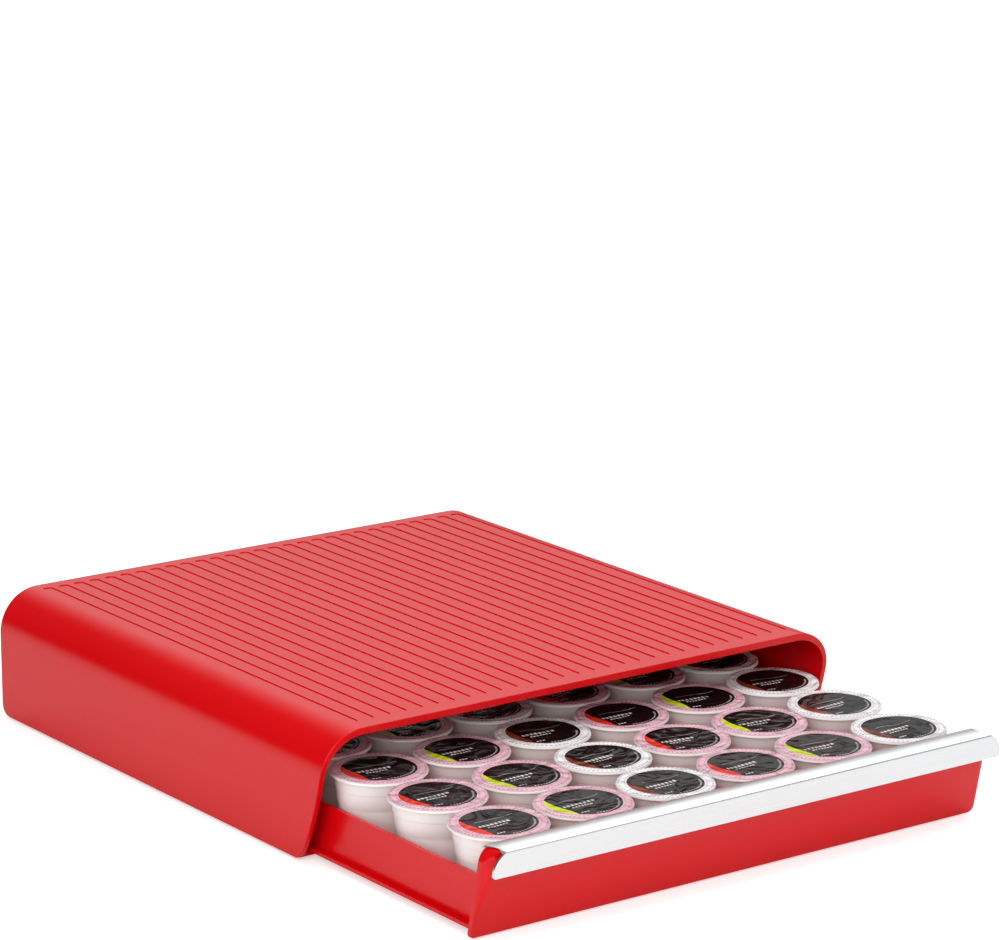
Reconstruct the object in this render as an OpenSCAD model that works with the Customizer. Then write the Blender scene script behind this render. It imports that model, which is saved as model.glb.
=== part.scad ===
// Coffee pod drawer: a low cover that stands on a worktop, with a tray of
// 36 pods that slides out of its open front. Millimetres, +Z up, front to -Y.
// The drawer is drawn 144 mm out of its closed place.

/* [What to show] */
// one node by its name, or all of them

/* [Cover] */
// thickness of the side walls
wall = 3.2; // [2.4:0.1:4]
// thickness of the top between its recesses
top_t = 4; // [3:0.1:5]
// open height between the handle trim and the top
hand_gap = 18.8; // [17:0.1:22]
// outer radius of the long upper corners
corner_r = 24.5; // [20:0.5:28]
// height of the cover's lower edge, which its pads lift off the worktop
foot_gap = 1.5; // [1:0.1:2]
// thickness of the two ledges the drawer runs on
ledge_t = 2; // [1.6:0.1:2.4]
// how far a ledge reaches in under the runner that slides on it
ledge_lap = 10.2; // [9:0.1:11]
// clearance between the closed panel and the front of the ledges
ledge_gap = 0.6; // [0.4:0.1:1]
// radius of the bowed front edge of the side walls, in side view
bow_r = 174.4; // [160:0.1:190]
// height of that bow's centre above the top
bow_up = 15.7; // [14:0.1:18]
// radius of the lower corners in side view
foot_r = 7; // [5:0.5:9]
// radius on the front and back edges of the top
nose_r = 1.2; // [0.8:0.1:1.6]

/* [Recesses in the top] */
// spacing of the recesses
slot_pitch = 10.2; // [9:0.1:12]
// width of a recess
slot_w = 6.4; // [5.8:0.1:7]
// depth of a recess
slot_deep = 1; // [0.8:0.1:1.4]
// corner radius of a recess
slot_r = 2.4; // [1.6:0.1:2.8]
// distance from the front edge to the recesses
slot_front = 10.5; // [10:0.5:12]
// distance from the back edge to the recesses
slot_back = 8.5; // [8:0.5:10]

/* [Pads] */
// diameter of a rubber pad
pad_d = 12; // [10:0.5:14]
// how far a pad goes into its pocket under the ledge
pad_in = 0.8; // [0.6:0.1:1]
// clearance round a pad in its pocket
pad_gap = 0.2; // [0.1:0.1:0.3]
// distance of a pad's centre from the inner edge of its ledge
pad_edge = 7.2; // [7:0.1:8]
// distance of a pad's centre from the front or back of the top
pad_y = 44; // [40:1:50]

/* [Drawer] */
// how far the drawer is pulled out as drawn
pulled = 144; // [0:1:280]
// how far the closed panel's foot sits behind the front of the top
set_in = 22.5; // [20:0.1:25]
// clearance between the closed drawer and the back of the cover
back_gap = 2.5; // [1:0.1:5]
// clearance between the ledges and the tray that slides on them
run_gap = 0.3; // [0.2:0.1:0.5]
// thickness of the tray's floor and of the runners beside it
floor_t = 2; // [1.6:0.1:2.4]
// how far a runner stands out beside the tray
runner_w = 4; // [3:0.1:5]
// room between a runner and the cover's side wall
side_gap = 4.8; // [4.4:0.1:6]
// thickness of the tray's walls
tray_wall = 2.2; // [1.8:0.1:2.6]
// height of the rim of the tray's walls above the worktop
tray_top = 31; // [28:0.5:34]

/* [Front panel] */
// height of the panel's lower edge above the worktop
panel_z = 1; // [0.8:0.1:1.4]
// clearance between an end of the panel and the cover's side wall
panel_gap = 0.6; // [0.4:0.1:1]
// how far the panel leans forward over its face height
rake_y = 12.5; // [11:0.5:14]
// how far each end leans in over the same height
rake_x = 1; // [0.6:0.1:2]
// the height over which both are measured
rake_z = 33; // [30:0.5:36]
// thickness of the panel, of its end cheeks and of the lip
panel_t = 2.5; // [2.2:0.1:2.8]
// radius of the rounding between panel and cheek at that height
cheek_r = 6; // [5:0.5:8]
// depth of an end cheek behind the face at that height
cheek_deep = 7.8; // [7:0.1:9]
// depth of an end cheek at its foot
cheek_foot = 1.8; // [1:0.1:3]
// radius of the lip's upper corners, seen from the front
end_round = 10; // [8:0.1:12]
// radius of the panel's lower corners, seen from the front
foot_round = 3; // [2:0.1:5]

/* [Handle trim] */
// thickness of the silver trim
trim_t = 1.2; // [1:0.1:1.4]
// height of the trim's top above the lids of the pods
trim_over = 2.9; // [2:0.1:4]
// height of the trim's front face
trim_face = 14.4; // [13:0.1:16]
// how far the trim's crease stands in front of the panel's raked plane
nose_lead = 3.15; // [3:0.05:3.4]
// distance of the trim's back edge in front of the panel's foot
trim_back = 5; // [4:0.1:7]
// how far the trim's face leans back below its crease
face_lean = 1.8; // [1:0.1:2.6]
// radius of the rounded strip between the flat top and the crease
crown_r = 22.8; // [20:0.1:26]
// width of that rounded strip, from above
crown_w = 7; // [6:0.1:8]
// clearance between the trim's face and the lip behind it
lip_gap = 0.3; // [0.2:0.1:0.5]
// how far the trim's ends stay inside the panel's
trim_in = 0.1; // [0:0.1:1]
// radius of the trim's upper corners, seen from the front
trim_round = 11.5; // [9:0.1:11.6]
// radius of the trim's lower corners, seen from the front
trim_foot = 2; // [1:0.1:3]

/* [Stops] */
// length of a stop block on a ledge
stop_len = 6; // [5:0.5:8]
// distance from the front of the ledges to the stop blocks
stop_back = 4.2; // [3:0.1:6]
// side clearance between runner and stop block
stop_gap = 0.6; // [0.5:0.1:0.8]
// height of a stop block above its ledge
stop_h = 5; // [4:0.5:6]
// length of an ear at the back of a runner
ear_len = 10; // [8:1:12]
// distance of the ears' front from the tray's rear wall
ear_in = 12.5; // [12:0.5:14]
// height of an ear
ear_h = 4.2; // [3:0.1:4.6]

/* [Pods] */
// rows and columns of pods
pod_n = 6; // [6:1:6]
// diameter over a pod's rim
rim_d = 51.4; // [51:0.1:52]
// gap between the rims of neighbouring pods
rim_gap = 1.1; // [1:0.1:1.3]
// how far the outer rims overhang the tray's side walls
rim_over = 2.15; // [2:0.05:2.4]
// how far the last row's rims overhang the rear wall
rear_over = 1; // [0.6:0.1:1.4]
// distance from the panel's foot back to the first row
first_row = 21.8; // [21.6:0.1:23]
// height of a pod without its lid
cup_h = 42.6; // [42:0.1:43]
// thickness of a pod's rim
rim_t = 1.6; // [1.2:0.1:2]
// how far the rim stands out beyond the pod's neck
rim_w = 2.6; // [2:0.1:3]
// diameter of a pod's foot
cup_foot = 37; // [35:0.5:39]
// distance of a pod's waist below its rim's top
cup_waist = 15.9; // [15:0.1:17]
// wall thickness of a pod
cup_wall = 1.2; // [0.8:0.1:1.4]
// thickness of the foil lid
lid_t = 0.4; // [0.3:0.1:0.5]
// margin of bare rim round the foil lid
lid_in = 0.5; // [0.3:0.1:0.8]

/* [Hidden] */
$fn = 96;
// names of the sub-parts, one file each
// across: the pods set the tray, the tray the cover
pitch = rim_d + rim_gap;
pod_span = (pod_n - 1) * pitch;
tray_x = (pod_span + rim_d) / 2 - rim_over + tray_wall;
runner_x = tray_x + runner_w;
inner_x = runner_x + side_gap;
cover_w = 2 * (inner_x + wall);
ledge_x = runner_x - ledge_lap;
pad_x = ledge_x + pad_edge;
panel_x = inner_x - panel_gap;
trim_x = panel_x - trim_in;
// lengthwise
tray_len = first_row + pod_span + rim_d / 2 - rear_over;
cover_d = set_in + tray_len + back_gap;
// upwards
floor_z = foot_gap + ledge_t + run_gap;
pod_z = floor_z + floor_t;
trim_z = pod_z + cup_h + lid_t + trim_over;
lip_z = trim_z - trim_t;
cover_h = trim_z + hand_gap + top_t;
// lower edge of the trim, and where the panel's plain face ends below it
skirt_z = trim_z - trim_face;
face_top = skirt_z - 0.4;
// y is measured from the middle of the cover's footprint until the end
front_y = -cover_d / 2;
foot_y = front_y + set_in - pulled;
// the trim's crease follows the raked panel up to the lip
nose_out = (lip_z - panel_z) * rake_y / rake_z + nose_lead;
nose_y = foot_y - nose_out;
// shift that puts the middle of the whole part's box at the origin
shift = -(min(nose_y, front_y) - front_y) / 2;
// front of the ledges, and of the stop blocks on them, behind front_y
ledge_in = set_in + panel_t * norm([rake_y, rake_z]) / rake_z + ledge_gap;
stop_in = ledge_in + stop_back;
// as many recesses as the flat of the top takes
slots = 1 + 2 * floor((cover_w / 2 - corner_r + 1.6 - slot_w / 2) / slot_pitch);
// longer than the part either way
span = cover_w + cover_d;
red = [0.80, 0.13, 0.15];
silver = [0.82, 0.82, 0.81];
rubber = [0.12, 0.12, 0.12];
cup_white = [0.93, 0.91, 0.89];
lid_cols = [[0.75, 0.12, 0.12], [0.55, 0.68, 0.16], [0.40, 0.24, 0.12]];

// an extrusion along X of a shape drawn as (y, z)
module along_x(half) {
    rotate([90, 0, 90])
        translate([0, 0, -half])
            linear_extrude(2 * half) children();
}

// an extrusion along Y, from y0 to y1, of a shape drawn as (x, z)
module along_y(y0, y1) {
    translate([0, y1, 0])
        rotate([90, 0, 0])
            linear_extrude(y1 - y0) children();
}

// the waste outside a round of radius r about (cx, cy), from angle a0 to a1
module corner_waste(cx, cy, r, a0, a1) {
    far = 2.2 * r;
    mid = (a0 + a1) / 2;
    difference() {
        polygon([[cx, cy],
                 [cx + far * cos(a0), cy + far * sin(a0)],
                 [cx + 1.5 * far * cos(mid), cy + 1.5 * far * sin(mid)],
                 [cx + far * cos(a1), cy + far * sin(a1)]]);
        translate([cx, cy]) circle(r);
    }
}

// ---- cover ------------------------------------------------------------

// the C-shaped cross-section, drawn as (x, z)
module cover_section() {
    h = cover_h - foot_gap;
    difference() {
        translate([-cover_w / 2, foot_gap]) square([cover_w, h]);
        for (s = [-1, 1])
            scale([s, 1])
                corner_waste(cover_w / 2 - corner_r, cover_h - corner_r,
                             corner_r, 0, 90);
        difference() {
            translate([-inner_x, foot_gap + ledge_t])
                square([2 * inner_x, h - ledge_t - top_t]);
            for (s = [-1, 1])
                scale([s, 1])
                    corner_waste(inner_x - corner_r + top_t,
                                 cover_h - corner_r, corner_r - top_t, 0, 90);
        }
        translate([-ledge_x, foot_gap - 1]) square([2 * ledge_x, ledge_t + 2]);
    }
}

// the side view with its bowed front edge, drawn as (y, z)
module cover_side() {
    by = front_y + sqrt(pow(bow_r, 2) - pow(bow_up, 2));
    bz = cover_h + bow_up;
    fy = by - sqrt(pow(bow_r - foot_r, 2) - pow(bz - foot_gap - foot_r, 2));
    fa = atan2(foot_gap + foot_r - bz, fy - by);
    ny = by - sqrt(pow(bow_r - nose_r, 2) - pow(bow_up + nose_r, 2));
    na = atan2(-nose_r - bow_up, ny - by);
    difference() {
        union() {
            translate([by, foot_gap])
                square([cover_d / 2 - by, cover_h - foot_gap]);
            intersection() {
                translate([by, bz]) circle(bow_r);
                translate([front_y - 1, foot_gap])
                    square([by - front_y + 2, cover_h - foot_gap]);
            }
        }
        corner_waste(fy, foot_gap + foot_r, foot_r, fa, -90);
        corner_waste(ny, cover_h - nose_r, nose_r, 90, na + 360);
        corner_waste(cover_d / 2 - foot_r, foot_gap + foot_r, foot_r, -90, 0);
        corner_waste(cover_d / 2 - nose_r, cover_h - nose_r, nose_r, 0, 90);
    }
}

// one recess of the top, drawn from above
module slot_outline() {
    y0 = front_y + slot_front;
    y1 = cover_d / 2 - slot_back;
    translate([-slot_w / 2, y0 + slot_r])
        square([slot_w, y1 - y0 - 2 * slot_r]);
    translate([-slot_w / 2 + slot_r, y0])
        square([slot_w - 2 * slot_r, y1 - y0]);
    for (x = [-1, 1], y = [y0 + slot_r, y1 - slot_r])
        translate([x * (slot_w / 2 - slot_r), y]) circle(slot_r);
}

module cover() {
    color(red) translate([0, shift, 0]) difference() {
        union() {
            intersection() {
                along_y(front_y - 1, cover_d / 2 + 1) cover_section();
                along_x(cover_w) cover_side();
            }
            // stop blocks that catch the ears of the runners
            for (s = [-1, 1])
                scale_x(s) translate([runner_x + stop_gap, front_y + stop_in,
                                      foot_gap + ledge_t / 2])
                    cube([inner_x - runner_x - stop_gap + 1, stop_len,
                          stop_h + ledge_t / 2]);
        }
        // the ledges stop short of the front
        translate([-inner_x, front_y - 2, 0])
            cube([2 * inner_x, ledge_in + 2, foot_gap + ledge_t + 0.01]);
        // recesses
        translate([0, 0, cover_h - slot_deep]) linear_extrude(slot_deep + 1)
            for (i = [0 : slots - 1])
                translate([(i - (slots - 1) / 2) * slot_pitch, 0])
                    slot_outline();
        // pockets for the pads
        for (x = [-1, 1], y = [-1, 1])
            translate([x * pad_x, y * (cover_d / 2 - pad_y), 0])
                cylinder(h = foot_gap + pad_in, d = pad_d + 2 * pad_gap);
    }
}

// mirror across X for s = -1, leave alone for s = 1
module scale_x(s) {
    if (s < 0) mirror([1, 0, 0]) children();
    else children();
}

// one rubber pad
module pad(x, y) {
    color(rubber)
        translate([x * pad_x, y * (cover_d / 2 - pad_y) + shift, 0])
            cylinder(h = foot_gap + pad_in, d = pad_d);
}

// ---- drawer -----------------------------------------------------------

// half of the panel's width at height z
function end_x(z) = panel_x - (z - panel_z) * rake_x / rake_z;
// y of the panel's face at height z
function face_y(z) = foot_y - (z - panel_z) * rake_y / rake_z;
function unit(v) = v / norm(v);
lean = atan2(rake_x, rake_z);

// the cone that rounds the corner of panel and cheek starts just above the
// rounded foot with no radius and touches both planes all the way up
apex_z = panel_z + foot_round + 1;
edge_v = unit([-rake_x, -rake_y, rake_z]);
face_n = unit([0, -rake_z, -rake_y]);
cheek_n = unit([rake_z, 0, rake_x]);
inward = unit(-(face_n + cheek_n));
cone_s = cheek_r * rake_z / (rake_z - foot_round - 1)
    / norm([rake_x, rake_y, rake_z]);
cone_k = cone_s / (inward * -face_n);
cone_v = edge_v * sqrt(1 - cone_k * cone_k) + inward * cone_k;

// what the cone leaves over in the corner, for a skin moved in by t
module corner_cone_waste(t) {
    len = 1.3 * lip_z;
    r = len * cone_s;
    p = [end_x(apex_z), face_y(apex_z), apex_z] + cone_v * (t / cone_s);
    a = cone_v * len;
    t1 = a + face_n * r * 1.3;
    t2 = a + cheek_n * r * 1.3;
    e = a + (edge_v * (len * sqrt(1 - cone_k * cone_k)) - a) * 1.4;
    translate(p) difference() {
        polyhedron([[0, 0, 0], a, t1, e, t2],
                   [[0, 2, 1], [0, 3, 2], [0, 4, 3], [0, 1, 4],
                    [1, 2, 3, 4]]);
        rotate([0, acos(cone_v[2]), atan2(cone_v[1], cone_v[0])])
            cylinder(h = len * 1.2, r1 = 0,
                     r2 = len * 1.2 * cone_s / sqrt(1 - cone_s * cone_s));
    }
}

// the front view of the panel and lip, moved in by t, drawn as (x, z)
module front_outline(t, z0, z1) {
    tx = t / cos(lean);
    r = end_round - t;
    difference() {
        polygon([[-end_x(z0) + tx, z0], [end_x(z0) - tx, z0],
                 [end_x(z1) - tx, z1], [-end_x(z1) + tx, z1]]);
        for (s = [-1, 1])
            scale([s, 1])
                corner_waste(end_x(z1 - r) - tx - r / cos(lean), z1 - r, r,
                             lean, 90);
    }
}

// the wedge inside the raked face and the leaning ends, moved in by t
module wedge(t, z0, z1, back) {
    ty = t * norm([rake_y, rake_z]) / rake_z;
    difference() {
        intersection() {
            along_x(span)
                polygon([[face_y(z0) + ty, z0], [back, z0],
                         [back, z1], [face_y(z1) + ty, z1]]);
            along_y(foot_y - span, foot_y + span) front_outline(t, z0, z1);
        }
        for (s = [-1, 1]) scale_x(s) corner_cone_waste(t);
    }
}

// y of the back of the trim's face at height z
crease_z = trim_z - crown_r + sqrt(pow(crown_r, 2) - pow(crown_w, 2));
function skirt_y(z) =
    nose_y + trim_t + face_lean * (crease_z - z) / (crease_z - skirt_z);

// the lip's upper front edge, clear of the trim, from the top down
lip_front = [[nose_y + 6.9, lip_z], [nose_y + 2.9, lip_z - 1.15],
             [skirt_y(lip_z - 2.4) + lip_gap, lip_z - 2.4]];

// the side view that leaves the cheeks and the lip's ends, drawn as (y, z)
module cheek_side() {
    mid = (panel_z + rake_z) / 2;
    top = rake_z + 9;
    polygon(concat(
        [[foot_y + cheek_foot, panel_z - 1], [foot_y + cheek_foot, panel_z],
         [face_y(mid) + (cheek_foot + cheek_deep) / 2, mid],
         [face_y(rake_z) + cheek_deep, rake_z],
         [face_y(top) + cheek_deep + 1.8, top],
         [face_y(top) + cheek_deep + 1.8, lip_z + 1],
         [nose_y + 6.9, lip_z + 1]],
        lip_front,
        [[nose_y - nose_out, skirt_z - nose_out],
         [nose_y - nose_out, panel_z - 1]]));
}

// rounds the two lower corners in front view
module foot_corners() {
    difference() {
        translate([-span / 2, panel_z - 1]) square([span, 2 * lip_z]);
        for (s = [-1, 1])
            scale([s, 1])
                corner_waste(end_x(panel_z + foot_round) - foot_round / cos(lean),
                             panel_z + foot_round, foot_round, -90, lean);
    }
}

// the step on the panel's face that fills the trim from behind, as (y, z)
module lip_step() {
    low = face_top + 0.8;
    b = face_y(face_top);
    polygon([[b + 0.6, face_top - 0.8], [skirt_y(low) + lip_gap, low],
             lip_front[2], lip_front[1],
             [face_y(lip_z - 3) + 1.2, lip_z - 3], [b + 1.2, face_top]]);
}

module drawer_tray() {
    rear_y = foot_y + tray_len;
    color(red) translate([0, shift, 0]) {
        // raked panel, cheeks and lip: one skin of even thickness
        intersection() {
            difference() {
                wedge(0, panel_z, lip_z, foot_y + nose_out);
                wedge(panel_t, panel_z - 5, lip_z - panel_t,
                      foot_y + 2 * nose_out);
            }
            along_x(span) cheek_side();
            along_y(foot_y - span, foot_y + span) foot_corners();
        }
        along_x(panel_x - end_round - 0.2) lip_step();
        // floor with the runners
        translate([-runner_x, foot_y - 0.3, floor_z])
            cube([2 * runner_x, tray_len + 0.3, floor_t]);
        // side walls, which run on to the back of the panel, and rear wall
        intersection() {
            difference() {
                translate([-tray_x, nose_y, floor_z])
                    cube([2 * tray_x, rear_y - nose_y, tray_top - floor_z]);
                translate([tray_wall - tray_x, nose_y - 1, floor_z - 1])
                    cube([2 * (tray_x - tray_wall),
                          rear_y - nose_y + 1 - tray_wall, tray_top]);
            }
            along_x(span)
                polygon([[face_y(0) + 1, 0], [rear_y + 1, 0],
                         [rear_y + 1, lip_z], [face_y(lip_z) + 1, lip_z]]);
        }
        // ears that meet the stop blocks
        for (s = [-1, 1])
            scale_x(s)
                translate([tray_x - 1, rear_y - ear_in, floor_z])
                    cube([inner_x - stop_gap - tray_x + 1, ear_len, ear_h]);
    }
}

// ---- trim -------------------------------------------------------------

// the J section of the trim, drawn as (y, z); its crease is furthest forward
module trim_section() {
    back = foot_y - trim_back;
    low = skirt_z - trim_t;
    difference() {
        intersection() {
            polygon([[back, trim_z], [nose_y, trim_z], [nose_y, crease_z],
                     [skirt_y(skirt_z) - trim_t, skirt_z], [back, skirt_z]]);
            union() {
                translate([nose_y + crown_w, trim_z - crown_r])
                    circle(crown_r);
                translate([nose_y + crown_w, trim_z - crown_r])
                    square([nose_out, crown_r]);
                translate([nose_y, trim_z - 2 * trim_face])
                    square([nose_out, 2 * trim_face - trim_round]);
            }
        }
        difference() {
            polygon([[foot_y, lip_z], [nose_y + trim_t, lip_z],
                     [skirt_y(crease_z), crease_z], [skirt_y(low), low],
                     [foot_y, low]]);
            corner_under();
        }
    }
}

// keeps the trim thick behind its crease
module corner_under() {
    polygon([[nose_y + 0.8, trim_z], [nose_y + 6.5, lip_z],
             [nose_y + 1.25, lip_z - 1.1]]);
}

// the trim's outline from the front, drawn as (x, z)
module trim_front() {
    r = trim_round;
    mid = trim_z - r - 0.8;
    low = skirt_z + trim_foot;
    flat_x = trim_x - r + 0.3;
    translate([-flat_x, mid]) square([2 * flat_x, 2 * r]);
    translate([-trim_x, low]) square([2 * trim_x, mid - low]);
    translate([trim_foot - trim_x, skirt_z - 1])
        square([2 * (trim_x - trim_foot), 1 + trim_foot]);
    for (s = [-1, 1]) {
        translate([s * (trim_x - r), mid]) circle(r);
        translate([s * (trim_x - trim_foot), low]) circle(trim_foot);
    }
}

module handle_trim() {
    color(silver) translate([0, shift, 0]) intersection() {
        along_x(span) trim_section();
        along_y(nose_y - 1, foot_y) trim_front();
    }
}

// ---- pods -------------------------------------------------------------

function pod_x(c) = (c - (pod_n + 1) / 2) * pitch;
function pod_y(r) = foot_y + first_row + (r - 1) * pitch + shift;

// one pod's stepped cup, open at the top
module pod_cup(r, c) {
    neck = rim_d / 2 - rim_w;
    waist_z = cup_h - cup_waist;
    color(cup_white)
        translate([pod_x(c), pod_y(r), pod_z])
            rotate_extrude()
                polygon([[0, 0], [cup_foot / 2, 0], [neck - 1.6, waist_z],
                         [neck - 0.9, cup_h - 8], [neck - 0.1, cup_h - 7.4],
                         [neck, cup_h - rim_t], [rim_d / 2, cup_h - rim_t],
                         [rim_d / 2, cup_h], [neck - cup_wall, cup_h],
                         [neck - 0.1 - cup_wall, cup_h - 7],
                         [neck - 0.9 - cup_wall, cup_h - 7.7],
                         [neck - 1.6 - cup_wall, waist_z],
                         [cup_foot / 2 + 0.1 - cup_wall, cup_wall],
                         [0, cup_wall]]);
}

// the foil lids of one column of pods
module pod_lids(c) {
    color(lid_cols[(c - 1) % 3])
        for (r = [1 : pod_n])
            translate([pod_x(c), pod_y(r), pod_z + cup_h])
                cylinder(h = lid_t, d = rim_d - 2 * lid_in);
}

// ---- assembly ---------------------------------------------------------

cover();
pad(-1, -1);  // pad_front_left
pad(1, -1);  // pad_front_right
pad(-1, 1);  // pad_rear_left
pad(1, 1);  // pad_rear_right
drawer_tray();
handle_trim();
for (r = [1 : pod_n], c = [1 : pod_n])
    pod_cup(r, c);
for (c = [1 : pod_n])
    pod_lids(c);
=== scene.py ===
import math
import random

import bmesh
import bpy
from mathutils import Matrix, Vector


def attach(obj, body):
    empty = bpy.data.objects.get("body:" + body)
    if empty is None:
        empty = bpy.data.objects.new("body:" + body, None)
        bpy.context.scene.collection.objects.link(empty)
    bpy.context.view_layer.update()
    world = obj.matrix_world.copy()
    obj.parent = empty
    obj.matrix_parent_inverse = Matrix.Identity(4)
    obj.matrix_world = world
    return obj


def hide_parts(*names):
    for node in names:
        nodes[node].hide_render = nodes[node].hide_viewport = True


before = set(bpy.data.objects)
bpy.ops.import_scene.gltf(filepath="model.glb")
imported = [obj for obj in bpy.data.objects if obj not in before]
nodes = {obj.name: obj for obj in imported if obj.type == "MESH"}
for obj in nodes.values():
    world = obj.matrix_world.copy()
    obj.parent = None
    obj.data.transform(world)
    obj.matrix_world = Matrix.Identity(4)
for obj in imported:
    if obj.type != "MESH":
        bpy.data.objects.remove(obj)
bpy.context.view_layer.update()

mm = 0.001

cameraPlace = {
    "at": (-1.26791, -1.76149, 0.71093),  # metres, in the CAD's frame
    "towards": (0.570077, 0.785127, -0.242047),
    "lens": 148.3,  # mm
    "sensor": 36.0,
}
cameraData = bpy.data.cameras.new("camera")
cameraData.lens = cameraPlace["lens"]
cameraData.sensor_width = cameraPlace["sensor"]
cameraData.clip_end = 60
camera = bpy.data.objects.new("camera", cameraData)
camera.location = cameraPlace["at"]
camera.rotation_euler = Vector(cameraPlace["towards"]).to_track_quat("-Z", "Y").to_euler()
bpy.context.scene.collection.objects.link(camera)
bpy.context.scene.camera = camera
bpy.context.scene.view_settings.view_transform = "Standard"


def linear(hexText):
    channels = [int(hexText[i:i + 2], 16) / 255 for i in (0, 2, 4)]
    return [c / 12.92 if c <= 0.04045 else ((c + 0.055) / 1.055) ** 2.4 for c in channels] + [1.0]


def addNode(tree, kind, settings={}, links={}):
    node = tree.nodes.new(kind)
    for name, value in settings.items():
        if isinstance(name, int) or name in node.inputs:
            node.inputs[name].default_value = value
        else:
            setattr(node, name, value)
    for name, source in links.items():
        tree.links.new(source, node.inputs[name])
    return node


def newMaterial(name):
    material = bpy.data.materials.new(name)
    material.use_nodes = True
    material.node_tree.nodes.clear()
    return material, material.node_tree


world = bpy.data.worlds.new("studio")
bpy.context.scene.world = world
world.use_nodes = True
tree = world.node_tree
tree.nodes.clear()


# 1 for a ray that shows the background itself, or shows it in gloss or glass
def seenRays(tree, gloss):
    rays = addNode(tree, "ShaderNodeLightPath").outputs
    bounced = addNode(tree, "ShaderNodeMath", {"operation": "MAXIMUM"},
                      {0: rays["Is Glossy Ray"], 1: rays["Is Transmission Ray"]})
    weighed = addNode(tree, "ShaderNodeMath", {"operation": "MULTIPLY", 1: gloss},
                      {0: bounced.outputs[0]})
    return addNode(tree, "ShaderNodeMath", {"operation": "MAXIMUM"},
                   {0: weighed.outputs[0], 1: rays["Is Camera Ray"]}).outputs[0]


# a studio with one pale wall, on the right, that darkens towards the ceiling
looks = addNode(tree, "ShaderNodeSeparateXYZ", {},
                {0: addNode(tree, "ShaderNodeTexCoord").outputs["Generated"]}).outputs
wall = addNode(tree, "ShaderNodeMapRange",
               {"interpolation_type": "SMOOTHSTEP", "From Min": -0.15, "From Max": 0.45,
                "To Min": 0.08, "To Max": 0.86}, {"Value": looks[0]})
rise = addNode(tree, "ShaderNodeMapRange",
               {"interpolation_type": "SMOOTHSTEP", "From Min": 0.03, "From Max": 0.4,
                "To Min": 0.12, "To Max": 1.2}, {"Value": looks[2]})
fade = addNode(tree, "ShaderNodeMapRange",
               {"interpolation_type": "SMOOTHSTEP", "From Min": 0.6, "From Max": 0.9,
                "To Min": 1.0, "To Max": 0.25}, {"Value": looks[2]})
behind = addNode(tree, "ShaderNodeMapRange",
                 {"interpolation_type": "SMOOTHSTEP", "From Min": -0.4, "From Max": 0.4,
                  "To Min": 0.5, "To Max": 1.0}, {"Value": looks[1]})
room = wall
for part in (rise, fade, behind):
    room = addNode(tree, "ShaderNodeMath", {"operation": "MULTIPLY"},
                   {0: room.outputs[0], 1: part.outputs[0]})
strength = addNode(tree, "ShaderNodeMix", {3: 1.0}, {0: seenRays(tree, 0.0),
                                                     2: room.outputs[0]})
sky = addNode(tree, "ShaderNodeBackground", {"Color": (1, 1, 1, 1)},
              {"Strength": strength.outputs[0]})
addNode(tree, "ShaderNodeOutputWorld", {}, {"Surface": sky.outputs[0]})

lampSettings = {  # name: place, aims at, size in metres, watts
    "topLamp": ((0.1, -0.2, 2.3), (0.0, 0.0, 0.0), 1.8, 27),
    "sideLamp": ((-2.0, -1.35, 1.3), (0.0, 0.0, 0.0), 2.3, 50),
    "frontLamp": ((0.2, -2.3, 1.3), (0.0, 0.0, 0.0), 2.2, 14),
    "backLamp": ((1.2, 0.8, 1.7), (0.0, 0.0, 0.0), 1.0, 6),
}
for name, (place, aim, size, watts) in lampSettings.items():
    lampData = bpy.data.lights.new(name, "AREA")
    lampData.size = size
    lampData.energy = watts
    lamp = bpy.data.objects.new(name, lampData)
    lamp.location = place
    lamp.rotation_euler = (Vector(aim) - Vector(place)).to_track_quat("-Z", "Y").to_euler()
    bpy.context.scene.collection.objects.link(lamp)

floorMaterial, tree = newMaterial("paper floor")
# pale paper: white where it is looked at, with the shadow kept, and far off wholly white
floorShade = addNode(tree, "ShaderNodeBsdfPrincipled",
                     {"Base Color": linear("f4f4f4"), "Roughness": 0.8,
                      "Specular IOR Level": 0.1})
away = addNode(tree, "ShaderNodeVectorMath", {"operation": "LENGTH"},
               {0: addNode(tree, "ShaderNodeTexCoord").outputs["Object"]})
lift = addNode(tree, "ShaderNodeMapRange",
               {"interpolation_type": "SMOOTHSTEP", "From Min": 0.6, "From Max": 2.6,
                "To Min": 0.5, "To Max": 1.0}, {"Value": away.outputs["Value"]})
glow = addNode(tree, "ShaderNodeMath", {"operation": "MULTIPLY"},
               {0: seenRays(tree, 0.08), 1: lift.outputs[0]})
paperGlow = addNode(tree, "ShaderNodeEmission", {}, {"Strength": glow.outputs[0]})
paper = addNode(tree, "ShaderNodeAddShader", {}, {0: floorShade.outputs[0],
                                                 1: paperGlow.outputs[0]})
addNode(tree, "ShaderNodeOutputMaterial", {}, {"Surface": paper.outputs[0]})
bm = bmesh.new()
bmesh.ops.create_grid(bm, x_segments=1, y_segments=1, size=9)
floorMesh = bpy.data.meshes.new("floor")
bm.to_mesh(floorMesh)
bm.free()
floor = bpy.data.objects.new("floor", floorMesh)
floorMesh.materials.append(floorMaterial)
bpy.context.scene.collection.objects.link(floor)
print("camera, lamps and floor")


def newPiece(name, bm, material, body, node=None, sharp=30):
    mesh = bpy.data.meshes.new(name)
    bm.to_mesh(mesh)
    bm.free()
    mesh.materials.append(material)
    mesh.shade_smooth()
    mesh.set_sharp_from_angle(angle=math.radians(sharp))
    piece = bpy.data.objects.new(name, mesh)
    bpy.context.scene.collection.objects.link(piece)
    if body:
        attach(piece, body)
    if node:
        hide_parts(*([node] if isinstance(node, str) else node))
    return piece


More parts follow.
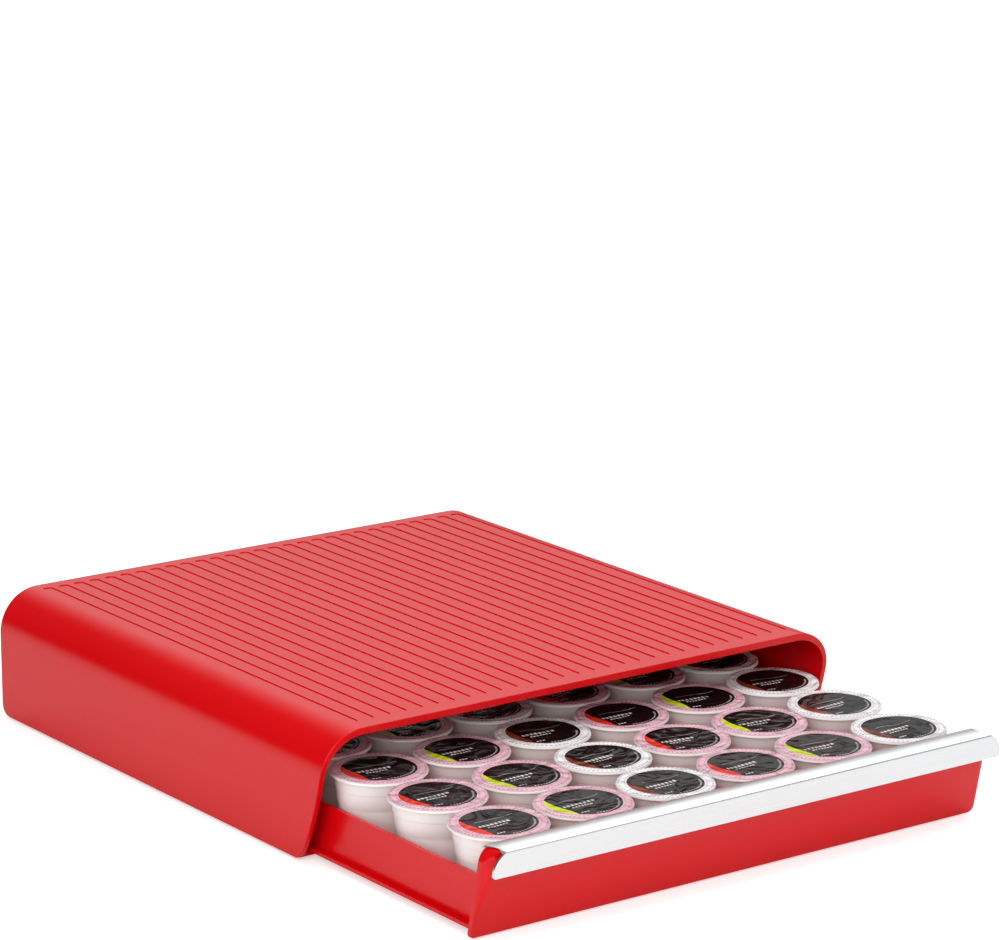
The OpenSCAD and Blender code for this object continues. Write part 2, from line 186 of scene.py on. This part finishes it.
# bakes the modifiers in; the flats then keep their own normals beside an eased edge
def finishPiece(piece):
    piece.modifiers.new("flats", "WEIGHTED_NORMAL").keep_sharp = True
    depsgraph = bpy.context.evaluated_depsgraph_get()
    mesh = bpy.data.meshes.new_from_object(piece.evaluated_get(depsgraph))
    old = piece.data
    piece.modifiers.clear()
    piece.data = mesh
    bpy.data.meshes.remove(old)
    mesh.name = piece.name


def addBox(bm, low, high):
    low, high = Vector(low) * mm, Vector(high) * mm
    made = bmesh.ops.create_cube(bm, size=1)["verts"]
    bmesh.ops.scale(bm, vec=high - low, verts=made)
    bmesh.ops.translate(bm, vec=(low + high) / 2, verts=made)
    return made


def edgesOf(verts, test):
    found = {e for v in verts for e in v.link_edges}
    return [e for e in found if test(e)]


def bevelEdges(bm, edges, width, segments=2):
    return bmesh.ops.bevel(bm, geom=edges, offset=width * mm, offset_type="OFFSET",
                           affect="EDGES", segments=segments, profile=0.5, material=-1,
                           clamp_overlap=True)


def sharpEdges(bm, degrees, test=lambda e: True):
    limit = math.radians(degrees)
    return [e for e in bm.edges
            if len(e.link_faces) == 2 and e.calc_face_angle(0) > limit and test(e)]


# a copy of a CAD node with its edges eased
def refineNode(node, width, segments=2, degrees=30):
    bm = bmesh.new()
    bm.from_mesh(nodes[node].data)
    bmesh.ops.remove_doubles(bm, verts=bm.verts, dist=0.00001)
    bmesh.ops.dissolve_limit(bm, angle_limit=math.radians(0.5), verts=bm.verts, edges=bm.edges)
    bevelEdges(bm, sharpEdges(bm, degrees), width, segments)
    return bm


redFinish = {
    "deep": "d7030b",  # the pigment itself
    "light": "db050f",
    "roughness": 0.25,
    "cloudSize": 0.09,  # metres
    "peelSize": 0.0011,
}


def mouldedRed(name):
    # injection-moulded polystyrene: saturated, a soft sheen and a faint orange peel
    material, tree = newMaterial(name)
    place = addNode(tree, "ShaderNodeTexCoord").outputs["Object"]
    cloud = addNode(tree, "ShaderNodeTexNoise",
                    {"Scale": 1 / redFinish["cloudSize"], "Detail": 2.0}, {"Vector": place})
    tint = addNode(tree, "ShaderNodeMix", {"data_type": "RGBA"}, {0: cloud.outputs[0]})
    tint.inputs[6].default_value = linear(redFinish["deep"])
    tint.inputs[7].default_value = linear(redFinish["light"])
    peel = addNode(tree, "ShaderNodeTexNoise",
                   {"Scale": 1 / redFinish["peelSize"], "Detail": 1.0}, {"Vector": place})
    haze = addNode(tree, "ShaderNodeMapRange",
                   {"To Min": redFinish["roughness"] - 0.04,
                    "To Max": redFinish["roughness"] + 0.04}, {"Value": peel.outputs[0]})
    bump = addNode(tree, "ShaderNodeBump", {"Strength": 0.05, "Distance": 0.0001},
                   {"Height": peel.outputs[0]})
    shade = addNode(tree, "ShaderNodeBsdfPrincipled", {"IOR": 1.5, "Specular IOR Level": 0.32},
                    {"Base Color": tint.outputs[2], "Roughness": haze.outputs[0],
                     "Normal": bump.outputs[0]})
    addNode(tree, "ShaderNodeOutputMaterial", {}, {"Surface": shade.outputs[0]})
    return material


def brushedAluminium():
    # satin anodised sheet, brushed along its length
    material, tree = newMaterial("brushed aluminium")
    place = addNode(tree, "ShaderNodeTexCoord").outputs["Object"]
    # brush lines 0.4 mm apart and some 50 mm long, coarser than the real ones
    along = addNode(tree, "ShaderNodeMapping", {"Scale": (20, 2500, 2500)}, {"Vector": place})
    lines = addNode(tree, "ShaderNodeTexNoise", {"Scale": 1.0, "Detail": 2.0},
                    {"Vector": along.outputs[0]})
    tone = addNode(tree, "ShaderNodeMix", {"data_type": "RGBA"}, {0: lines.outputs[0]})
    tone.inputs[6].default_value = linear("e4e6e7")
    tone.inputs[7].default_value = linear("eff2f3")
    rough = addNode(tree, "ShaderNodeMapRange", {"To Min": 0.24, "To Max": 0.34},
                    {"Value": lines.outputs[0]})
    bump = addNode(tree, "ShaderNodeBump", {"Strength": 0.05, "Distance": 0.0001},
                   {"Height": lines.outputs[0]})
    shade = addNode(tree, "ShaderNodeBsdfPrincipled", {"Metallic": 1.0},
                    {"Base Color": tone.outputs[2], "Roughness": rough.outputs[0],
                     "Normal": bump.outputs[0]})
    addNode(tree, "ShaderNodeOutputMaterial", {}, {"Surface": shade.outputs[0]})
    return material


def whiteCup():
    # thermoformed white polystyrene, satin, a little uneven where it was drawn
    material, tree = newMaterial("white polystyrene")
    place = addNode(tree, "ShaderNodeTexCoord").outputs["Object"]
    cloud = addNode(tree, "ShaderNodeTexNoise", {"Scale": 90.0, "Detail": 2.0}, {"Vector": place})
    tint = addNode(tree, "ShaderNodeMix", {"data_type": "RGBA"}, {0: cloud.outputs[0]})
    tint.inputs[6].default_value = linear("f6f3f0")
    tint.inputs[7].default_value = linear("fbf9f7")
    bump = addNode(tree, "ShaderNodeBump", {"Strength": 0.05, "Distance": 0.0003},
                   {"Height": cloud.outputs[0]})
    shade = addNode(tree, "ShaderNodeBsdfPrincipled", {"Roughness": 0.38, "IOR": 1.5},
                    {"Base Color": tint.outputs[2], "Normal": bump.outputs[0]})
    addNode(tree, "ShaderNodeOutputMaterial", {}, {"Surface": shade.outputs[0]})
    return material


def blackRubber():
    # moulded rubber, matt with a fine grain
    material, tree = newMaterial("black rubber")
    place = addNode(tree, "ShaderNodeTexCoord").outputs["Object"]
    grain = addNode(tree, "ShaderNodeTexNoise", {"Scale": 1200.0}, {"Vector": place})
    bump = addNode(tree, "ShaderNodeBump", {"Strength": 0.3, "Distance": 0.0003},
                   {"Height": grain.outputs[0]})
    tint = addNode(tree, "ShaderNodeMix", {"data_type": "RGBA"}, {0: grain.outputs[0]})
    tint.inputs[6].default_value = linear("1b1b1b")
    tint.inputs[7].default_value = linear("262626")
    shade = addNode(tree, "ShaderNodeBsdfPrincipled", {"Roughness": 0.75},
                    {"Base Color": tint.outputs[2], "Normal": bump.outputs[0]})
    addNode(tree, "ShaderNodeOutputMaterial", {}, {"Surface": shade.outputs[0]})
    return material


lidPrints = {  # name: wedge colour, rim colour, field
    "red": ("e5301c", "e3b4c1", "150d0f"),
    "green": ("c8da1e", "e3b4c1", "120e0e"),
    "brown": ("7d3319", "eeebec", "120d0d"),
}
lidMarks = (  # colour, strength, bands as coordinate, middle and half width, dashes; lid radii
    ("wedge", 1.0, (("bentX", -0.78, 0.22),), None),
    ("8f8a8a", 1.0, (("bentY", 0.24, 0.011), ("x", 0.07, 0.47)), None),
    ("d6d0ce", 1.0, (("y", 0.0, 0.042), ("x", -0.12, 0.38)), ("x", 62, -0.45)),
    ("d6d0ce", 1.0, (("y", -0.13, 0.024), ("x", -0.13, 0.27)), ("x", 84, -0.45)),
    ("d6d0ce", 1.0, (("y", -0.5, 0.024), ("x", -0.35, 0.1)), ("x", 84, -0.45)),
    ("bdb7b6", 1.0, (("radius", 0.71, 0.02), ("angle", -1.09, 0.79)), ("angle", 64, -0.1)),
    ("rim", 1.0, (("radius", 0.9, 0.115),), None),
    # painted shade: the knurl's dents are not modelled, so darker dots stand in for the shade in
    # them; the dots are coarser than the real ones, which would blur away
    ("7a4a5a", 0.6, (("radius", 0.83, 0.016),), ("angle", 64, 0.15)),
    ("7a4a5a", 0.7, (("radius", 0.955, 0.019),), ("angle", 64, 0.15)),
)


def printedFoil(name, wedge, rim, field):
    # lacquered aluminium foil, gravure printed: satin, crinkled by the sealing
    material, tree = newMaterial(name)
    uv = addNode(tree, "ShaderNodeUVMap", {"uv_map": "lid"}).outputs[0]
    place = addNode(tree, "ShaderNodeTexCoord").outputs["Object"]
    x, y = addNode(tree, "ShaderNodeSeparateXYZ", {}, {0: uv}).outputs[:2]
    measures = {
        "x": x,
        "y": y,
        "radius": addNode(tree, "ShaderNodeVectorMath", {"operation": "LENGTH"},
                          {0: uv}).outputs["Value"],
        "angle": addNode(tree, "ShaderNodeMath", {"operation": "ARCTAN2"},
                         {0: y, 1: x}).outputs[0],
    }
    # the wedge's edge and the swash are slightly wavy
    for bent, along, across, waves, height in (("bentX", x, y, 5.0, 0.03),
                                               ("bentY", y, x, 5.5, 0.035)):
        phase = addNode(tree, "ShaderNodeMath", {"operation": "MULTIPLY", 1: waves}, {0: across})
        wave = addNode(tree, "ShaderNodeMath", {"operation": "SINE"}, {0: phase.outputs[0]})
        measures[bent] = addNode(tree, "ShaderNodeMath", {"operation": "MULTIPLY_ADD", 1: height},
                                 {0: wave.outputs[0], 2: along}).outputs[0]
    colour = None
    for tone, strength, bands, dashes in lidMarks:
        mask = None
        for measure, middle, half in bands:
            band = addNode(tree, "ShaderNodeMath",
                           {"operation": "COMPARE", 1: middle, 2: half}, {0: measures[measure]})
            if mask:
                band = addNode(tree, "ShaderNodeMath", {"operation": "MULTIPLY"},
                               {0: band.outputs[0], 1: mask.outputs[0]})
            mask = band
        if dashes:
            measure, pitch, level = dashes
            phase = addNode(tree, "ShaderNodeMath", {"operation": "MULTIPLY", 1: pitch},
                            {0: measures[measure]})
            wave = addNode(tree, "ShaderNodeMath", {"operation": "SINE"}, {0: phase.outputs[0]})
            dash = addNode(tree, "ShaderNodeMath", {"operation": "GREATER_THAN", 1: level},
                           {0: wave.outputs[0]})
            mask = addNode(tree, "ShaderNodeMath", {"operation": "MULTIPLY"},
                           {0: dash.outputs[0], 1: mask.outputs[0]})
        weight = addNode(tree, "ShaderNodeMath", {"operation": "MULTIPLY", 1: strength},
                         {0: mask.outputs[0]})
        layer = addNode(tree, "ShaderNodeMix", {"data_type": "RGBA"}, {0: weight.outputs[0]})
        layer.inputs[7].default_value = linear({"wedge": wedge, "rim": rim}.get(tone, tone))
        if colour:
            tree.links.new(colour, layer.inputs[6])
        else:
            layer.inputs[6].default_value = linear(field)
        colour = layer.outputs[2]
    # soft dents some 12 mm across
    crinkle = addNode(tree, "ShaderNodeTexNoise",
                      {"Scale": 80.0, "Detail": 1.5, "Roughness": 0.4, "Distortion": 1.2},
                      {"Vector": place})
    bump = addNode(tree, "ShaderNodeBump", {"Strength": 1.0, "Distance": 0.003},
                   {"Height": crinkle.outputs[0]})
    rough = addNode(tree, "ShaderNodeMapRange", {"To Min": 0.18, "To Max": 0.3},
                    {"Value": crinkle.outputs[0]})
    shade = addNode(tree, "ShaderNodeBsdfPrincipled", {"Specular IOR Level": 0.14},
                    {"Base Color": colour, "Roughness": rough.outputs[0],
                     "Normal": bump.outputs[0]})
    addNode(tree, "ShaderNodeOutputMaterial", {}, {"Surface": shade.outputs[0]})
    return material


coverRed = mouldedRed("moulded red polystyrene")
trimMetal = brushedAluminium()
cupWhite = whiteCup()
padRubber = blackRubber()
foils = {name: printedFoil("printed foil " + name, *colours) for name, colours in lidPrints.items()}
print("materials")


coverSizes = {  # mm, in the CAD's frame
    "width": 338.0,
    "front": -95.3,
    "back": 238.7,
    "foot": 1.5,
    "top": 74.5,
    "wall": 3.2,
    "topThick": 4.0,
    "corner": 24.5,
    "cornerSteps": 18,
    "bowRadius": 174.4,
    "bowY": 78.4,
    "bowZ": 90.2,
    "footRound": 7.0,
    "footSquash": 0.55,  # depth of the front foot's rounding for its height
    "edgeRound": 0.8,
    "cuts": (2.0, 2.8, 3.8, 5.0, 6.6, 8.5, 14, 20, 26, 32, 38, 44),  # heights along a bow
    "ledgeX": 150.8,
    "ledgeThick": 2.0,
    "ledgeIn": 25.8,
    "ledgeBack": 2.4,
    "ledgeSink": 1.2,  # how far a ledge runs into its wall
    "stopX": 161.6,
    "stopSink": 1.4,
    "stopRaise": 1.2,
    "stopTop": 8.5,
    "stopIn": (30, 36),  # behind the cover's front
    "ledgeEase": 0.4,
    "slotCount": 29,
    "slotPitch": 10.2,
    "slotWidth": 6.4,
    "slotRound": 2.4,
    "slotDeep": 0.5,
    "slotFront": 10.5,
    "slotBack": 8.5,
}


def frontEdge(z):
    s = coverSizes
    bow = s["bowY"] - math.sqrt(s["bowRadius"] ** 2 - (s["bowZ"] - z) ** 2)
    rise = z - s["foot"]
    r = s["footRound"]
    if rise < r:
        bow += s["footSquash"] * (r - math.sqrt(max(0, r * r - (r - rise) ** 2)))
    return bow


def backEdge(z):
    s = coverSizes
    rise, r = z - s["foot"], s["footRound"]
    return s["back"] - (r - math.sqrt(max(0, r * r - (r - rise) ** 2)) if rise < r else 0)


def buildCover():
    s = coverSizes
    half = s["width"] / 2
    bm = bmesh.new()
    block = addBox(bm, (-half, s["front"], s["foot"]), (half, s["back"], s["top"]))
    ridge = edgesOf(block, lambda e: all(v.co.z > s["top"] / 2 * mm for v in e.verts)
                    and abs(e.verts[0].co.x - e.verts[1].co.x) < mm)
    bevelEdges(bm, ridge, s["corner"], s["cornerSteps"])
    ends = [f for f in bm.faces if abs(f.normal.y) > 0.9 or f.normal.z < -0.9]
    bmesh.ops.delete(bm, geom=ends, context="FACES")
    for z in s["cuts"]:
        bmesh.ops.bisect_plane(bm, geom=bm.verts[:] + bm.edges[:] + bm.faces[:],
                               plane_co=(0, 0, z * mm), plane_no=(0, 0, 1))
    middle = (s["front"] + s["back"]) / 2 * mm
    for v in bm.verts:
        z = v.co.z / mm
        v.co.y = (frontEdge(z) if v.co.y < middle else backEdge(z)) * mm
    bmesh.ops.recalc_face_normals(bm, faces=bm.faces)
    bmesh.ops.solidify(bm, geom=bm.faces[:], thickness=s["wall"] * mm)
    # only the inner skin sinks towards the top, which is thicker than the walls
    extra = (s["topThick"] - s["wall"]) * mm
    climb = s["corner"] - s["wall"]
    for v in bm.verts:
        across = max(0, abs(v.co.x) / mm - (half - s["corner"]))
        up = v.co.z / mm - (s["top"] - s["corner"])
        if up > 0 and math.hypot(across, up) < s["corner"] - s["wall"] / 2:
            v.co.z -= extra * min(1, up / climb)
    bmesh.ops.recalc_face_normals(bm, faces=bm.faces)
    bevelEdges(bm, sharpEdges(bm, 60), s["edgeRound"], 3)
    return bm


def buildLedges():
    s = coverSizes
    bm = bmesh.new()
    for side in (-1, 1):
        xs = sorted((side * s["ledgeX"], side * (s["width"] / 2 - s["ledgeSink"])))
        made = addBox(bm, (xs[0], s["front"] + s["ledgeIn"], s["foot"]),
                      (xs[1], s["back"] - s["ledgeBack"], s["foot"] + s["ledgeThick"]))
        bevelEdges(bm, edgesOf(made, lambda e: True), s["ledgeEase"], 2)
    for side in (-1, 1):
        xs = sorted((side * s["stopX"], side * (s["width"] / 2 - s["stopSink"])))
        near, far = (s["front"] + place for place in s["stopIn"])
        made = addBox(bm, (xs[0], near, s["foot"] + s["stopRaise"]), (xs[1], far, s["stopTop"]))
        bevelEdges(bm, edgesOf(made, lambda e: True), s["ledgeEase"], 2)
    return bm


def buildSlots():
    s = coverSizes
    bm = bmesh.new()
    for i in range(s["slotCount"]):
        middle = (i - (s["slotCount"] - 1) / 2) * s["slotPitch"]
        made = addBox(bm, (middle - s["slotWidth"] / 2, s["front"] + s["slotFront"],
                           s["top"] - s["slotDeep"]),
                      (middle + s["slotWidth"] / 2, s["back"] - s["slotBack"], s["top"] + 2))
        corners = edgesOf(made, lambda e: abs(e.verts[0].co.z - e.verts[1].co.z) > mm)
        bevelEdges(bm, corners, s["slotRound"], 5)
    return bm


cover = newPiece("coverShell", buildCover(), coverRed, "cover_body", "cover")
ledges = newPiece("ledges", buildLedges(), coverRed, None)
recesses = newPiece("recesses", buildSlots(), coverRed, None)
for tool, operation in ((ledges, "UNION"), (recesses, "DIFFERENCE")):
    cut = cover.modifiers.new(tool.name, "BOOLEAN")
    cut.operation = operation
    cut.object = tool
    cut.solver = "MANIFOLD"
ease = cover.modifiers.new("ease", "BEVEL")
ease.width = 0.3 * mm
ease.segments = 2
ease.limit_method = "ANGLE"
ease.angle_limit = math.radians(50)
finishPiece(cover)
for tool in (ledges, recesses):
    bpy.data.objects.remove(tool)
for name in ("pad_front_left", "pad_front_right", "pad_rear_left", "pad_rear_right"):
    nodes[name].data.materials.clear()
    nodes[name].data.materials.append(padRubber)
print("cover")


trayEase = {
    "width": 0.5,  # mm
    "segments": 3,
    "sharp": 50,  # degrees, so that the rounded corners stay smooth
}
tray = newPiece("drawerTray", refineNode("drawer_tray", trayEase["width"], trayEase["segments"]),
                coverRed, "drawer_body", "drawer_tray", trayEase["sharp"])
finishPiece(tray)

trimSizes = {  # mm, in the CAD's frame; the nose is the crease, furthest forward
    "halfWidth": 165.1,
    "top": 51.7,
    "skirt": 37.3,
    "crease": 50.6,
    "nose": -238.7,
    "back": -221.8,
    "lean": 1.8,
    "thick": 1.2,
    "crownWidth": 7.0,
    "tailDrop": 1.55,
    "creaseRound": 0.9,
    "corner": 12.4,
    "footCorner": 2.0,
    "ease": 0.4,
    "innerCrease": (1.3, 1.1),  # behind the nose and below the crease
    "innerCrown": 6.5,  # behind the nose
}


# an extrusion of a flat outline along an axis, between two places
def extrudeOutline(bm, points, axis, low, high):
    place = (lambda a, b: (low, a, b)) if axis == "x" else (lambda a, b: (a, low, b))
    ring = [bm.verts.new(Vector(place(a, b)) * mm) for a, b in points]
    face = bm.faces.new(ring)
    grown = bmesh.ops.extrude_face_region(bm, geom=[face])["geom"]
    step = (high - low) * mm
    bmesh.ops.translate(bm, verts=[g for g in grown if isinstance(g, bmesh.types.BMVert)],
                        vec=(step, 0, 0) if axis == "x" else (0, step, 0))
    bmesh.ops.recalc_face_normals(bm, faces=bm.faces)
    return bm


def arc(x, z, radius, start, end, steps):
    angles = [math.radians(start + (end - start) * i / steps) for i in range(steps + 1)]
    return [(x + radius * math.cos(a), z + radius * math.sin(a)) for a in angles]


def buildTrimSection():
    s = trimSizes
    drop = s["top"] - s["crease"]
    crown = (s["crownWidth"] ** 2 + drop ** 2) / (2 * drop)
    middle = s["nose"] + s["crownWidth"]
    sweep = math.degrees(math.asin(s["crownWidth"] / crown))
    face = s["nose"] + s["lean"]
    outer = arc(middle, s["top"] - crown, crown, 90, 90 + sweep, 5)
    # the crease is rolled over, not folded sharp
    tip, before = Vector(outer.pop()), Vector(outer[-1])
    start = tip + (before - tip).normalized() * s["creaseRound"]
    end = tip + (Vector((face, s["skirt"])) - tip).normalized() * s["creaseRound"]
    for i in range(7):
        t = i / 6
        outer.append(tuple(start.lerp(tip, t).lerp(tip.lerp(end, t), t)))
    tail = s["back"] - middle
    bend = (tail ** 2 + s["tailDrop"] ** 2) / (2 * s["tailDrop"])
    lean = math.degrees(math.asin(tail / bend))
    top = arc(middle, s["top"] - bend, bend, 90 - lean, 90, 6)[:-1]
    under = [(y, z - s["thick"]) for y, z in reversed(top)]
    inner = [(face + s["thick"], s["skirt"]), (s["nose"] + s["innerCrease"][0],
                                                s["crease"] - s["innerCrease"][1]),
             (s["nose"] + s["innerCrown"], s["top"] - s["thick"])]
    points = top + outer + [(face, s["skirt"])] + inner + under
    return extrudeOutline(bmesh.new(), points, "x", -s["halfWidth"] - 1, s["halfWidth"] + 1)


def buildTrimOutline():
    s = trimSizes
    half, r, f = s["halfWidth"], s["corner"], s["footCorner"]
    right = arc(half - f, s["skirt"] + f, f, -90, 0, 5)
    right += arc(half - r, s["top"] - r, r, 0, 90, 14)
    points = right + [(-x, z) for x, z in reversed(right)]
    return extrudeOutline(bmesh.new(), points, "y", s["nose"] - 1, s["back"] + 1)


trim = newPiece("handleTrim", buildTrimSection(), trimMetal, "drawer_body", "handle_trim")
outline = newPiece("outline", buildTrimOutline(), trimMetal, None)
shape = trim.modifiers.new("outline", "BOOLEAN")
shape.operation = "INTERSECT"
shape.object = outline
shape.solver = "MANIFOLD"
ease = trim.modifiers.new("ease", "BEVEL")
ease.width = trimSizes["ease"] * mm
ease.segments = 3
ease.limit_method = "ANGLE"
ease.angle_limit = math.radians(35)
finishPiece(trim)
bpy.data.objects.remove(outline)
print("drawer and trim")


podSizes = {  # mm, from the pod's own bottom
    "height": 42.6,
    "lidRadius": 25.45,
    "lidThick": 0.4,
    "lidSag": 0.45,
    "lidWave": 0.5,
    "lidFlat": 0.8,  # the sealed rim starts here, in lid radii
    "lidEdge": 0.35,  # how far the very edge turns down
    "steps": 56,
}
# outer wall of a cup as radius and height
cupOutline = [(0, 0.7), (13.0, 0.7), (14.0, 0.0), (17.6, 0.0), (18.5, 0.5), (18.9, 1.6),
              (21.3, 25.4), (21.5, 26.7), (21.9, 27.2), (22.3, 34.2), (22.7, 34.9), (23.0, 35.3),
              (23.1, 40.4), (23.5, 41.0), (25.2, 41.0), (25.65, 41.3), (25.7, 41.9),
              (25.5, 42.4), (25.0, 42.6), (22.6, 42.6), (21.9, 42.3), (21.9, 36.0), (20.4, 26.7),
              (17.5, 2.2), (0, 2.2)]


def buildCup(x, y, z, turn):
    bm = bmesh.new()
    chain = [bm.verts.new((r * mm, 0, h * mm)) for r, h in cupOutline]
    edges = [bm.edges.new(pair) for pair in zip(chain, chain[1:])]
    bmesh.ops.spin(bm, geom=chain + edges, cent=(0, 0, 0), axis=(0, 0, 1), dvec=(0, 0, 0),
                   angle=math.tau, steps=podSizes["steps"], use_merge=True, use_duplicate=False)
    bmesh.ops.remove_doubles(bm, verts=bm.verts, dist=0.000005)
    bmesh.ops.recalc_face_normals(bm, faces=bm.faces)
    bmesh.ops.rotate(bm, verts=bm.verts, cent=(0, 0, 0), matrix=Matrix.Rotation(turn, 3, "Z"))
    bmesh.ops.translate(bm, verts=bm.verts, vec=Vector((x, y, z)) * mm)
    return bm


def addLid(bm, layer, x, y, z, turn, rng):
    rings = [0.0, 0.12, 0.25, 0.38, 0.5, 0.62, 0.72, 0.78, 0.82, 0.88, 0.94, 0.985, 1.0]
    radius = podSizes["lidRadius"]
    chain = [bm.verts.new((r * radius * mm, 0, 0)) for r in rings]
    edges = [bm.edges.new(pair) for pair in zip(chain, chain[1:])]
    bmesh.ops.spin(bm, geom=chain + edges, cent=(0, 0, 0), axis=(0, 0, 1), dvec=(0, 0, 0),
                   angle=math.tau, steps=podSizes["steps"], use_merge=True, use_duplicate=False)
    loose = [v for v in bm.verts if v.co.length < radius * 1.2 * mm and abs(v.co.z) < 0.001]
    bmesh.ops.remove_doubles(bm, verts=loose, dist=0.000005)
    verts = [v for v in bm.verts if v.co.length < radius * 1.2 * mm and abs(v.co.z) < 0.001]
    phase = [rng.uniform(0, math.tau) for _ in range(4)]  # the first two are used
    faces = {f for v in verts for f in v.link_faces}
    for f in faces:
        f.normal_update()
        if f.normal.z < 0:
            f.normal_flip()
        for loop in f.loops:
            p = loop.vert.co / (radius * mm)
            loop[layer].uv = (p.x, p.y)
    for v in verts:
        r = v.co.length / (radius * mm)
        a = math.atan2(v.co.y, v.co.x)
        sag = podSizes["lidSag"] * (1 - min(1, r / podSizes["lidFlat"]) ** 2)
        wave = podSizes["lidWave"] * r * (1 - r) * (math.sin(3 * a + phase[0])
                                                   + math.sin(9 * r + 2 * a + phase[1]))
        edge = podSizes["lidEdge"] if r > 0.995 else 0.0
        v.co.z = (podSizes["lidThick"] - sag + wave - edge) * mm
    bmesh.ops.rotate(bm, verts=verts, cent=(0, 0, 0), matrix=Matrix.Rotation(turn, 3, "Z"))
    bmesh.ops.translate(bm, verts=verts, vec=Vector((x, y, z)) * mm)


podGrid = {
    "count": 6,
    "pitch": 52.5,
    "firstRow": -195.0,  # y of the front row
    "floor": 5.8,
    "turn": 0.12,  # radians a pod may be turned either way
    "seed": 6,
}
rng = random.Random(podGrid["seed"])
for column in range(1, podGrid["count"] + 1):
    x = (column - (podGrid["count"] + 1) / 2) * podGrid["pitch"]
    lids = bmesh.new()
    layer = lids.loops.layers.uv.new("lid")
    for row in range(1, podGrid["count"] + 1):
        y = podGrid["firstRow"] + (row - 1) * podGrid["pitch"]
        turn = rng.uniform(-podGrid["turn"], podGrid["turn"])
        newPiece(f"podCup_r{row}c{column}", buildCup(x, y, podGrid["floor"], turn), cupWhite,
                 "drawer_body", f"pod_cup_r{row}c{column}", 40)
        addLid(lids, layer, x, y, podGrid["floor"] + podSizes["height"], turn, rng)
    kind = ("red", "green", "brown")[(column - 1) % 3]
    newPiece(f"podLids_c{column}", lids, foils[kind], "drawer_body", f"pod_lids_c{column}",
             40)
print("pods")
